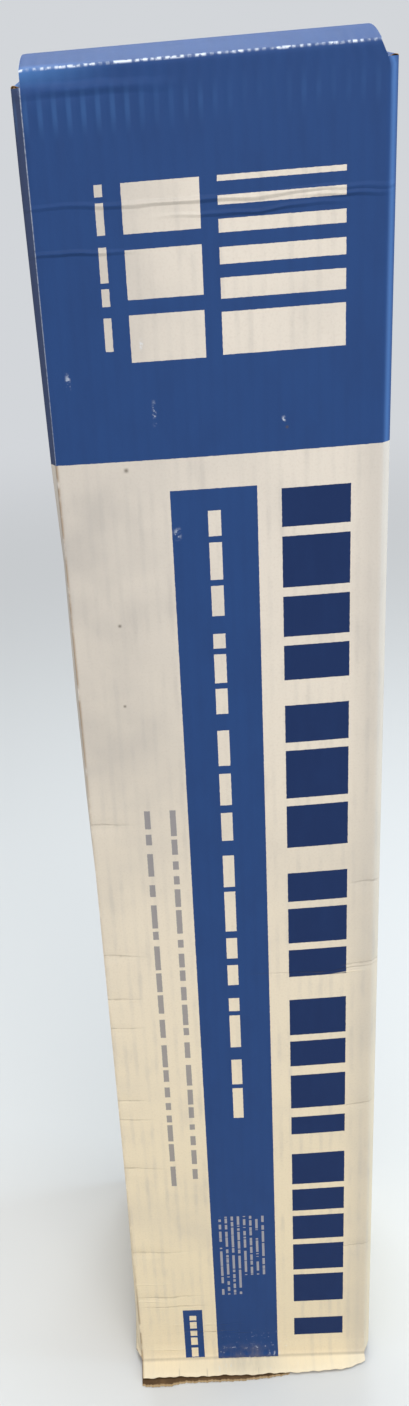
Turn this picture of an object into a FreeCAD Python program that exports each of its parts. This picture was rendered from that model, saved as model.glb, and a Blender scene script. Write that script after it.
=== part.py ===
import FreeCAD, Part
import math
import os
import Sketcher

# A roll of air barrier membrane packed for sale: a long square carton of corrugated board,
# closed at both ends and standing on one of them, with the roll upright inside it.
#
# Millimetres. +Z runs up along the carton. The origin is the middle of the face it stands on,
# the printed front panel faces -Y, and +X is to the right of someone who looks at that panel.
#
# The carton is one folded and glued blank, so it is one solid. Front and back panels carry the
# outer end flaps, the side panels carry the inner end flaps, and a glue tab joins the blank's
# two ends inside a back corner.

SIZES = {
    # wound membrane
    "roll_diameter": 189,
    "roll_width": 975,
    "bore_diameter": 76,
    # carton, made to fit the roll
    "side_clearance": 1.5,   # from the roll to each panel, beside the folds
    "headroom": 8.4,         # from the roll to the top inner flaps
    "board": 4,              # thickness of the corrugated board
    "fold_inside": 1,        # inside radius of every fold
    "bulge": 4,              # how far each panel bows outwards halfway up
    "layer_gap": 0.3,        # between an inner flap and the outer flap that covers it
    "seam_gap": 3,           # between two flaps that meet end to end
    "seam_shift": 3,         # the flaps meet this far behind, or right of, the middle
    "front_flap_rise": 10,   # how far the front top flap's free edge has sprung up
    "back_flap_rise": 4,     # the same for the back top flap
    "tab_width": 35,         # glue tab, measured along the back panel
    "tab_inset": 12,         # from each end of the carton to the glue tab's end
    # crushed fold at the foot of the front panel
    "foot_reach_left": 19,   # how far it sticks out at the left fold
    "foot_reach_right": 16,  # the same at the right fold
    "foot_rise": 8,          # height at which it leaves the panel
    "foot_lip": 3.5,         # thickness of its outer edge
    # torn paper of the bottom front flap, flat on the floor in front of the foot
    "tear_left": 96,         # its left end, measured from the middle
    "tear_right": 30,        # its right end, measured from the middle
    "tear_reach_left": 26,   # how far it sticks out past the panel at its left end
    "tear_reach_right": 20,  # the same at its right end
    "tear_thickness": 1,
}

# Sizes that follow from the ones above.
FOLLOWING = {
    # over the folds: the front panel's width, and the depth from front panel to back panel
    "width": "( roll_diameter + 2 * side_clearance + 2 * board )",
    "depth": "( roll_diameter + 2 * side_clearance + 2 * board )",
    # over the closed outer flaps
    "length": "( roll_width + headroom + 4 * board + 2 * layer_gap )",
    "fold_outside": "( fold_inside + board )",
}

TOP = 1
BOTTOM = -1


def make_sheet(doc):
    """The spreadsheet that holds every driving size under its own name."""
    sheet = doc.addObject("Spreadsheet::Sheet", "Sizes")
    for row, (alias, value) in enumerate(SIZES.items(), start=1):
        sheet.set(f"A{row}", alias)
        sheet.set(f"B{row}", str(value))
        sheet.setAlias(f"B{row}", alias)
    doc.recompute()
    return sheet


def spelled_out(formula):
    """The formula with its names pointing at the spreadsheet. Its words are parted by spaces."""
    words = []
    for word in formula.split():
        if word in FOLLOWING:
            word = spelled_out(FOLLOWING[word])
        elif word in SIZES:
            word = f"Sizes.{word}"
        words.append(word)
    return " ".join(words)


def bound(sheet, formula):
    """The formula as an expression for setExpression, and its present value."""
    text = spelled_out(formula)
    value = sheet.evalExpression(text)
    return text, float(getattr(value, "Value", value))


class BoundSketch:
    """A sketch on one of its body's origin planes, whose dimensions follow the spreadsheet."""

    def __init__(self, body, sheet, name, plane, offset=None):
        self.sheet = sheet
        self.sketch = body.newObject("Sketcher::SketchObject", name)
        origin_plane = next(f for f in body.Origin.OriginFeatures if f.Role == plane)
        self.sketch.AttachmentSupport = [(origin_plane, "")]
        self.sketch.MapMode = "FlatFace"
        if offset:
            self.sketch.setExpression("AttachmentOffset.Base.z", bound(sheet, offset)[0])

    def line(self, start, end):
        segment = Part.LineSegment(FreeCAD.Vector(*start, 0), FreeCAD.Vector(*end, 0))
        return self.sketch.addGeometry(segment, False)

    def arc(self, centre, radius, start, end):
        """An arc that runs anticlockwise between two angles in degrees."""
        circle = Part.Circle(FreeCAD.Vector(*centre, 0), FreeCAD.Vector(0, 0, 1), radius)
        arc = Part.ArcOfCircle(circle, math.radians(start), math.radians(end))
        return self.sketch.addGeometry(arc, False)

    def join(self, first, first_end, second, second_end):
        self.sketch.addConstraint(
            Sketcher.Constraint("Coincident", first, first_end, second, second_end))

    def fix(self, kind, *where, formula):
        """A dimension that is bound to the spreadsheet."""
        text, value = bound(self.sheet, formula)
        number = self.sketch.addConstraint(Sketcher.Constraint(kind, *where, value))
        self.sketch.setExpression(f"Constraints[{number}]", text)

    def place(self, geometry, end, across, along):
        """Holds one point of the sketch at two formulas, measured from the origin."""
        self.fix("DistanceX", -1, 1, geometry, end, formula=across)
        self.fix("DistanceY", -1, 1, geometry, end, formula=along)

    def rule(self, kind, *where):
        """A constraint with no size."""
        self.sketch.addConstraint(Sketcher.Constraint(kind, *where))

    def value(self, formula):
        return bound(self.sheet, formula)[1]

    def polygon(self, corners):
        """A closed outline of straight lines through corners given as pairs of formulas."""
        points = [(self.value(across), self.value(along)) for across, along in corners]
        count = len(points)
        lines = [self.line(points[i], points[(i + 1) % count]) for i in range(count)]
        for i in range(count):
            self.join(lines[i], 2, lines[(i + 1) % count], 1)
            self.place(lines[i], 1, *corners[i])


def rectangle(body, sheet, name, plane, low, high, offset=None):
    """A sketch of one upright rectangle between two corners given as pairs of formulas."""
    drawing = BoundSketch(body, sheet, name, plane, offset)
    drawing.polygon([low, (high[0], low[1]), high, (low[0], high[1])])
    return drawing.sketch


def extrude(body, sheet, kind, name, sketch, length):
    """A Pad or Pocket of the sketch, centred on the sketch's plane."""
    feature = body.newObject(f"PartDesign::{kind}", name)
    feature.Profile = sketch
    feature.SideType = "Symmetric"
    text, value = bound(sheet, length)
    feature.Length = value
    feature.setExpression("Length", text)
    body.Document.recompute()
    return feature


def sleeve_section(body, sheet, name, height, inset, radius, bulge):
    """One level of the carton's sleeve: a square with rounded folds and bowed sides."""
    drawing = BoundSketch(body, sheet, name, "XY_Plane", height)
    half_x = f"( width / 2 - {inset} )"
    half_y = f"( depth / 2 - {inset} )"
    centre_x = f"( {half_x} - {radius} )"
    centre_y = f"( {half_y} - {radius} )"
    size = drawing.value(radius)
    reach_x = drawing.value(centre_x)
    reach_y = drawing.value(centre_y)
    edge_x = drawing.value(half_x)
    edge_y = drawing.value(half_y)

    corners = []
    for sign_x, sign_y, start in ((1, -1, 270), (1, 1, 0), (-1, 1, 90), (-1, -1, 180)):
        corner = drawing.arc((sign_x * reach_x, sign_y * reach_y), size, start, start + 90)
        drawing.place(corner, 3, f"{sign_x} * {centre_x}", f"{sign_y} * {centre_y}")
        drawing.fix("Radius", corner, formula=radius)
        upright_end, level_end = (1, 2) if start in (90, 270) else (2, 1)
        drawing.rule("Vertical", corner, upright_end, corner, 3)
        drawing.rule("Horizontal", corner, level_end, corner, 3)
        corners.append(corner)

    sides = (
        (reach_y, centre_y, edge_x, 0), (reach_x, centre_x, edge_y, 90),
        (reach_y, centre_y, edge_x, 180), (reach_x, centre_x, edge_y, 270))
    for number, (half_chord, chord_formula, edge, facing) in enumerate(sides):
        before = corners[number]
        after = corners[(number + 1) % 4]
        turn = math.radians(facing)
        if bulge is None:
            start = (edge * math.cos(turn) + half_chord * math.sin(turn),
                     edge * math.sin(turn) - half_chord * math.cos(turn))
            end = (edge * math.cos(turn) - half_chord * math.sin(turn),
                   edge * math.sin(turn) + half_chord * math.cos(turn))
            side = drawing.line(start, end)
        else:
            bow = f"( {chord_formula} * {chord_formula} + {bulge} * {bulge} ) / ( 2 * {bulge} )"
            bow_radius = drawing.value(bow)
            half_angle = math.degrees(math.asin(half_chord / bow_radius))
            depth = edge + drawing.value(bulge) - bow_radius
            centre = (depth * math.cos(turn), depth * math.sin(turn))
            side = drawing.arc(centre, bow_radius, facing - half_angle, facing + half_angle)
            drawing.fix("Radius", side, formula=bow)
        drawing.join(before, 2, side, 1)
        drawing.join(side, 2, after, 1)
    return drawing.sketch


def sleeve_loft(body, sheet, kind, name, inset, radius, low, high):
    """The sleeve's outside or inside, bowed in a smooth curve from one end score to the other."""
    levels = []
    for share, bulge in ((0, None), (0.25, "( bulge * 0.75 )"), (0.5, "bulge"),
                         (0.75, "( bulge * 0.75 )"), (1, None)):
        height = f"{low} + ( {high} - {low} ) * {share}"
        label = f"{name}_{round(share * 100)}"
        levels.append(sleeve_section(body, sheet, label, height, inset, radius, bulge))
    body.Document.recompute()
    loft = body.newObject(f"PartDesign::{kind}", name)
    loft.Profile = levels[0]
    loft.Sections = levels[1:]
    loft.Ruled = False
    body.Document.recompute()
    return loft


def end_flap(body, sheet, name, plane, side, end, reach, recess, rise):
    """One end flap with its fold: a strip of board that bends over from the end of its panel.

    side is +1 or -1 along the plane's first axis and end is TOP or BOTTOM. reach is the panel's
    outer face, recess the flap's distance inside the carton's end, and rise how far the flap's
    free edge stands further out than its fold.
    """
    drawing = BoundSketch(body, sheet, name + "_outline", plane)
    run = f"( {reach} - fold_outside - {side} * seam_shift - seam_gap / 2 )"
    across_formula = f"{side} * ( {reach} - fold_outside )"
    if end == TOP:
        height_formula = f"length - {recess} - fold_outside"
    else:
        height_formula = f"{recess} + fold_outside"

    across = drawing.value(across_formula)
    height = drawing.value(height_formula)
    inner_radius = drawing.value("fold_inside")
    outer_radius = drawing.value("fold_outside")
    length = drawing.value(run)
    tilt = math.asin(drawing.value(rise) / length)
    bend = math.pi / 2 - tilt
    step = (-side * length * math.cos(tilt), end * length * math.sin(tilt))

    def around_fold(radius, angle):
        return (across + side * radius * math.cos(angle), height + end * radius * math.sin(angle))

    def fold(radius):
        angles = [math.degrees(math.atan2(end * math.sin(turn), side * math.cos(turn))) % 360
                  for turn in (0, bend)]
        first, last = angles if side * end > 0 else reversed(angles)
        return drawing.arc((across, height), radius, first, last if last > first else last + 360)

    outer_end = around_fold(outer_radius, bend)
    inner_end = around_fold(inner_radius, bend)
    outer_tip = (outer_end[0] + step[0], outer_end[1] + step[1])
    inner_tip = (inner_end[0] + step[0], inner_end[1] + step[1])
    outer_fold = fold(outer_radius)
    inner_fold = fold(inner_radius)
    root = drawing.line(around_fold(inner_radius, 0), around_fold(outer_radius, 0))
    outside = drawing.line(outer_end, outer_tip)
    tip = drawing.line(outer_tip, inner_tip)
    inside = drawing.line(inner_tip, inner_end)

    # an arc runs anticlockwise, so which of its ends meets the panel depends on the corner
    panel_end, flap_end = (1, 2) if side * end > 0 else (2, 1)
    drawing.place(outer_fold, 3, across_formula, height_formula)
    drawing.join(outer_fold, 3, inner_fold, 3)
    drawing.fix("Radius", outer_fold, formula="fold_outside")
    drawing.fix("Radius", inner_fold, formula="fold_inside")
    drawing.join(root, 1, inner_fold, panel_end)
    drawing.join(root, 2, outer_fold, panel_end)
    drawing.rule("Horizontal", root)
    drawing.rule("Horizontal", outer_fold, 3, outer_fold, panel_end)
    drawing.rule("Tangent", outer_fold, flap_end, outside, 1)
    drawing.rule("Tangent", inner_fold, flap_end, inside, 2)
    drawing.join(outside, 2, tip, 1)
    drawing.join(tip, 2, inside, 1)
    drawing.rule("Perpendicular", outside, tip)
    drawing.rule("Parallel", outside, inside)
    drawing.fix("Distance", outside, formula=run)
    drawing.fix("DistanceY", outside, 1, outside, 2, formula=f"{end} * {rise}")
    return drawing.sketch


def add_end_flaps(body, sheet, end, word, front_rise, back_rise):
    """The four flaps that close one end: two inner ones from the sides, two outer ones."""
    for name, side in (("left", -1), ("right", 1)):
        label = f"{word}_{name}_flap"
        outline = end_flap(body, sheet, label, "XZ_Plane", side, end,
                           "width / 2", "( board + layer_gap )", "0")
        extrude(body, sheet, "Pad", label, outline, "depth - 2 * fold_outside")
    for name, side, rise in (("front", -1, front_rise), ("back", 1, back_rise)):
        label = f"{word}_{name}_flap"
        outline = end_flap(body, sheet, label, "YZ_Plane", side, end, "depth / 2", "0", rise)
        extrude(body, sheet, "Pad", label, outline, "width - 2 * fold_outside")


def cut_side_panels(body, sheet):
    """Cuts the side panels and the corners back to the scores of the inner flaps."""
    score = "( board + layer_gap + fold_outside )"
    near = "( width / 2 - fold_outside )"
    far = "( width / 2 + bulge )"
    drawing = BoundSketch(body, sheet, "corner_slots_outline", "XZ_Plane")
    for side in (-1, 1):
        for low, high in (("0", score), (f"length - {score}", "length")):
            drawing.polygon([
                (f"{side} * {near}", low), (f"{side} * {far}", low),
                (f"{side} * {far}", high), (f"{side} * {near}", high)])
    extrude(body, sheet, "Pocket", "corner_slots", drawing.sketch, "2 * depth")


def add_glue_tab(body, sheet):
    """The strip that joins the blank's two ends, glued inside the back panel."""
    outline = BoundSketch(body, sheet, "glue_tab_outline", "XY_Plane", "length / 2")
    near = "- ( width / 2 - board / 2 )"
    far = "- ( width / 2 - board - tab_width )"
    low = "depth / 2 - 2 * board"
    high = "depth / 2 - board / 4"
    outline.polygon([(near, low), (far, low), (far, high), (near, high)])
    extrude(body, sheet, "Pad", "glue_tab", outline.sketch, "length - 2 * tab_inset")


def add_crushed_foot(body, sheet):
    """The front panel's bottom fold, crushed outwards into a lip that lies on the floor."""
    sections = []
    for name, side in (("left", -1), ("right", 1)):
        offset = f"{side} * ( width / 2 - fold_outside )"
        drawing = BoundSketch(body, sheet, f"foot_{name}_outline", "YZ_Plane", offset)
        inside = "- ( depth / 2 - board / 2 )"
        lip = f"- ( depth / 2 + foot_reach_{name} )"
        drawing.polygon([(inside, "0"), (inside, "foot_rise"), (lip, "foot_lip"), (lip, "0")])
        sections.append(drawing.sketch)
    body.Document.recompute()
    foot = body.newObject("PartDesign::AdditiveLoft", "crushed_foot")
    foot.Profile = sections[0]
    foot.Sections = sections[1:]
    foot.Ruled = True
    body.Document.recompute()


def add_torn_paper(body, sheet):
    """Paper torn off the bottom front flap, still held by the crushed foot."""
    outline = BoundSketch(body, sheet, "torn_paper_outline", "XY_Plane", "tear_thickness / 2")
    panel = "- depth / 2"
    outline.polygon([
        ("- tear_left", panel),
        ("- tear_left", "- ( depth / 2 + tear_reach_left )"),
        ("tear_right", "- ( depth / 2 + tear_reach_right )"),
        ("tear_right", panel)])
    extrude(body, sheet, "Pad", "torn_paper", outline.sketch, "tear_thickness")


def make_carton(doc, sheet):
    """The folded and glued blank of corrugated board."""
    body = doc.addObject("PartDesign::Body", "carton")
    low = "fold_outside"
    high = "( length - fold_outside )"
    sleeve_loft(body, sheet, "AdditiveLoft", "sleeve_outside", "0", "fold_outside", low, high)
    solid = body.Shape.Volume
    sleeve_loft(body, sheet, "SubtractiveLoft", "sleeve_inside", "board", "fold_inside", low, high)
    hollow = body.Shape.Volume
    cut_side_panels(body, sheet)
    slotted = body.Shape.Volume
    if not slotted < hollow < solid:
        raise RuntimeError("a cut in the carton's sleeve removed nothing")
    add_glue_tab(body, sheet)
    add_end_flaps(body, sheet, TOP, "top", "front_flap_rise", "back_flap_rise")
    add_end_flaps(body, sheet, BOTTOM, "bottom", "0", "0")
    add_crushed_foot(body, sheet)
    add_torn_paper(body, sheet)
    return body


def make_roll(doc, sheet):
    """The wound membrane, standing on the bottom inner flaps."""
    body = doc.addObject("PartDesign::Body", "membrane_roll")
    seat = "2 * board + layer_gap"
    outline = rectangle(body, sheet, "roll_outline", "XZ_Plane",
                        ("bore_diameter / 2", seat), ("roll_diameter / 2", f"{seat} + roll_width"))
    turned = body.newObject("PartDesign::Revolution", "wound_turns")
    turned.Profile = outline
    turned.ReferenceAxis = (outline, ["V_Axis"])
    turned.Angle = 360
    doc.recompute()
    return body


def check(doc, parts):
    """Stops the build if any feature failed or any sub-part isn't one sound solid."""
    for item in doc.Objects:
        if "Invalid" in item.State or "Error" in item.State:
            raise RuntimeError(f"{item.Name} failed: {item.State}")
    for part in parts:
        if part.Shape.isNull() or not part.Shape.isValid():
            raise RuntimeError(f"{part.Label} has no valid shape")
        if len(part.Shape.Solids) != 1:
            raise RuntimeError(f"{part.Label} is {len(part.Shape.Solids)} solids, not one")


def main():
    doc = FreeCAD.newDocument("boxed_roll")
    sheet = make_sheet(doc)
    parts = [make_carton(doc, sheet), make_roll(doc, sheet)]
    for part in parts:
        part.Label = part.Name
        part.Placement = FreeCAD.Placement()
    doc.recompute()
    check(doc, parts)
    os.makedirs("parts", exist_ok=True)
    for part in parts:
        part.Shape.exportStep(f"parts/{part.Label}.step")
        box = part.Shape.BoundBox
        print(f"{part.Label}: {part.Shape.Volume / 1e3:.1f} cm3, "
              f"x {box.XMin:.1f}..{box.XMax:.1f}, y {box.YMin:.1f}..{box.YMax:.1f}, "
              f"z {box.ZMin:.1f}..{box.ZMax:.1f}")


main()
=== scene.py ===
"""Looks of a boxed roll of membrane: a printed corrugated carton that stands on its end.

The carton is made as the real one is: a flat blank of three layers (printed outer liner, fluted
medium, inner liner) is laid out in its own two coordinates, then folded up. Across is the distance
round the carton from its back left fold, and along is the height above the floor before folding.
Each layer keeps those two coordinates as its UV map, in metres, and the print follows them.
"""

import math
import random

import bpy
import numpy as np
from bpy.props import FloatProperty, FloatVectorProperty, PointerProperty
from mathutils import Matrix, Vector


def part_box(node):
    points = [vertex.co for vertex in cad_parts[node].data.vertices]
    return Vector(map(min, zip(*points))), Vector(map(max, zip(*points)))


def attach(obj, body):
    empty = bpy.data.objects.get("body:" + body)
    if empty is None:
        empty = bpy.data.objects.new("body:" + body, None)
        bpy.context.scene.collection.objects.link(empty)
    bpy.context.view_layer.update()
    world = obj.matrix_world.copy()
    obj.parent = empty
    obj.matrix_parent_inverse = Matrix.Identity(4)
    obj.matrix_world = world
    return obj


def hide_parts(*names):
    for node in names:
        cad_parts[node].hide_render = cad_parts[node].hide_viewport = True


bl_info = {
    "name": "Boxed Membrane Roll",
    "version": (1, 0, 0),
    "blender": (4, 5, 0),
    "location": "View3D > Sidebar > Carton",
    "description": "Builds the printed corrugated carton around its packed frame",
    "category": "Object",
}

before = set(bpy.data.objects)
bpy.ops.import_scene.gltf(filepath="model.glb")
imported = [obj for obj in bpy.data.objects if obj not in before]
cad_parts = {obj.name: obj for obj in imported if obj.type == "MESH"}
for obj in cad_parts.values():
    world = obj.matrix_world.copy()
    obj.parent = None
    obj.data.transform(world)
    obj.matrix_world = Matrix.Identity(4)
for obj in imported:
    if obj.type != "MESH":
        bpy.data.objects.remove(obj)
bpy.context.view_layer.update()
CARTON_LOW, CARTON_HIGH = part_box("carton")
ROLL_LOW, ROLL_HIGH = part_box("membrane_roll")

# How far the panels bulge and the lifted flap rises past the plain box, and that box.
BULGE = 0.004
FLAP_RISE = 0.010
WIDTH = 2 * (CARTON_HIGH.x - BULGE)
LENGTH = CARTON_HIGH.z - FLAP_RISE
# How far the torn paper lies in front of the box, and its front edge: across the front, and how
# far the edge stops short of that reach.
TEAR_REACH = -CARTON_LOW.y - WIDTH / 2
TEAR_DEPTH = 0.036
TEAR_EDGE = ((-0.0955, 0.0022), (-0.0900, 0.0004), (-0.0700, 0.0006), (-0.0620, 0.0030),
             (-0.0120, 0.0034), (0.0120, 0.0052), (0.0300, 0.0078))
# Thickness of the wound sheet.
MEMBRANE_SHEET = 0.0005

# Area lamps: name, place, aim, size in metres, power in watts, colour.
LAMPS = (
    ("key", (0.5, -2.2, 1.8), (0, 0, 0.45), 1.6, 28.0, (1.0, 0.985, 0.96)),
    ("window", (2.0, 0.1, 1.2), (0, 0, 0.6), 1.0, 24.0, (0.62, 0.81, 1.0)),
    ("fill", (-1.8, -1.3, 1.0), (0, 0, 0.4), 1.8, 6.0, (1.0, 0.98, 0.95)),
    ("top", (0.1, -0.5, 2.9), (0, 0, 0.6), 1.2, 27.0, (0.92, 0.96, 1.0)),
    ("back", (0.0, 0.9, 2.3), (0, 0, 1.0), 0.9, 24.0, (0.80, 0.90, 1.0)),
)
# The world's colour, its strength as light and its strength as the backdrop.
BACKDROP = (0.93, 0.96, 1.0, 1.0)
WORLD_LIGHT = 0.45
WORLD_SEEN = 0.70

# The camera: place, turns in degrees, lens in millimetres, sideways shift.
CAMERA_PLACE = (-0.0386, -0.8075, 0.9799)
CAMERA_YAW = 3.187
CAMERA_PITCH = -25.918
CAMERA_ROLL = -4.945
CAMERA_LENS = 31.4501
CAMERA_SHIFT = 0.0703


def srgb(red, green, blue):
    """A colour given as 0 to 255 screen values, as the linear colour that a shader takes."""
    linear = []
    for channel in (red, green, blue):
        value = channel / 255
        linear.append(value / 12.92 if value <= 0.04045 else ((value + 0.055) / 1.055) ** 2.4)
    return tuple(linear)


def down(share):
    """Along at a share of the carton's length, counted down from the top."""
    return LENGTH * (1 - share)


# ---------------------------------------------------------------- sizes and colours

def length_property(name, description, default):
    return FloatProperty(name=name, description=description, default=default,
                         min=0.0, precision=4, unit="LENGTH", subtype="DISTANCE")


def colour_property(name, description, default):
    return FloatVectorProperty(name=name, description=description, default=default,
                               size=3, min=0.0, max=1.0, subtype="COLOR")


class CartonSizes(bpy.types.PropertyGroup):
    board: length_property("Board", "Thickness of the corrugated board", 0.004)
    liner: length_property("Liner", "Thickness of one paper layer", 0.00035)
    flute: length_property("Flute pitch", "Distance from one flute to the next", 0.0076)
    fold: length_property("Fold radius", "Outside radius of every fold", 0.005)
    layer_gap: length_property("Layer gap", "Between an inner flap and the outer flap over it", 0.0003)
    seam_gap: length_property("Seam gap", "Between two flaps that meet end to end", 0.003)
    seam_shift: length_property("Seam shift", "How far behind the middle the flaps meet", 0.003)
    tab: length_property("Glue tab", "Width of the glue tab", 0.035)
    front_crest: length_property("Front flap crest", "How high the front top flap swells", 0.0078)
    back_crest: length_property("Back flap crest", "How high the back top flap swells", 0.0035)
    notch: length_property("Corner notch", "How far the top right corner is cut back", 0.0045)
    sunk: length_property("Sunk flaps", "How far the side flaps sink at their front corners", 0.0052)
    crushed_top: length_property("Crushed corner", "How far the top left corner is pushed in", 0.0028)
    foot: length_property("Foot", "How far the crushed foot sticks out", 0.019)


class CartonColours(bpy.types.PropertyGroup):
    white: colour_property("White liner", "Bleached face of the outer liner", srgb(221, 211, 198))
    cream: colour_property("Cream liner", "The same near the floor, partly painted warm light, partly yellowed", srgb(233, 216, 183))
    blue: colour_property("Blue ink", "Ink of the end block and the band", srgb(33, 66, 119))
    navy: colour_property("Navy ink", "Ink of the large blocks", srgb(20, 43, 87))
    blue_dull: colour_property("Dull blue", "Blue ink where it lies thin", srgb(30, 58, 107))
    # painted shade on the ink of the left fold
    painted_shade_ink: colour_property("Shaded ink", "Blue ink greyed as painted shade along the left fold", srgb(72, 74, 88))
    # painted highlight: a lighter blue that stands for light on the ink at the top corner, the top
    # flutes and the right fold
    painted_highlight_ink: colour_property("Highlight ink", "Lighter blue ink standing for painted highlight", srgb(92, 146, 212))
    grey: colour_property("Grey ink", "Ink of the fine lines", srgb(108, 108, 120))
    grime: colour_property("Grime", "Greyish soil on the white liner", srgb(174, 168, 162))
    # painted highlight: paper lightened where it faces the light
    painted_highlight_paper: colour_property("Highlight paper", "Paper lightened as painted highlight", srgb(246, 230, 198))
    cracked: colour_property("Cracked ink", "Bare fibre where the ink has cracked", srgb(226, 232, 242))
    # partly soil, partly painted shade under the crushed foot
    torn: colour_property("Torn paper", "Torn kraft paper, soiled and darkened as painted shade", srgb(96, 72, 47))
    soil: colour_property("Soil", "Grey-brown soil near the floor", srgb(150, 136, 118))
    # painted shade in the creases and above the foot's strip; the specks are real dirt
    shade_and_dirt: colour_property("Shade and dirt", "Painted shade in the creases, and dark specks", srgb(84, 74, 64))
    kraft: colour_property("Kraft paper", "Unbleached paper inside the board", srgb(138, 108, 74))
    membrane: colour_property("Membrane", "Face of the wound sheet", srgb(60, 92, 140))


# ---------------------------------------------------------------- the folded blank

# How the front panel's foot is crushed: along the blank, the place outwards as a fixed part and
# a share of the foot's reach, the level above the floor, and how the board's thickness points.
FOOT_PROFILE = (
    (-0.0029, -0.0110, 1.0, 0.0000, 0.00, 1.00),
    (-0.0010, -0.0080, 1.0, 0.0004, 0.00, 0.50),
    (0.0012, -0.0035, 1.0, 0.0013, 0.10, 0.20),
    (0.0028, -0.0006, 1.0, 0.0021, 0.20, 0.00),
    (0.0038, 0.0000, 1.0, 0.0029, 0.30, -0.20),
    (0.0046, -0.0006, 1.0, 0.0036, 0.35, -0.30),
    (0.0062, -0.0010, 0.72, 0.0043, 0.35, -0.35),
    (0.0086, 0.0050, 0.0, 0.0052, 0.50, -0.35),
    (0.0094, 0.0038, 0.0, 0.0062, 0.60, -0.20),
    (0.0104, 0.0029, 0.0, 0.0083, 0.80, -0.10),
    (0.0130, 0.0020, 0.0, 0.0122, 1.00, 0.00),
    (0.0200, 0.0007, 0.0, 0.0197, 1.00, 0.00),
    (0.0300, 0.0000, 0.0, 0.0300, 1.00, 0.00),
)
FOOT_START = FOOT_PROFILE[0][0]
FOOT_CRUSHED = FOOT_PROFILE[-3][0]
FOOT_TOP = FOOT_PROFILE[-1][0]


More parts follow.
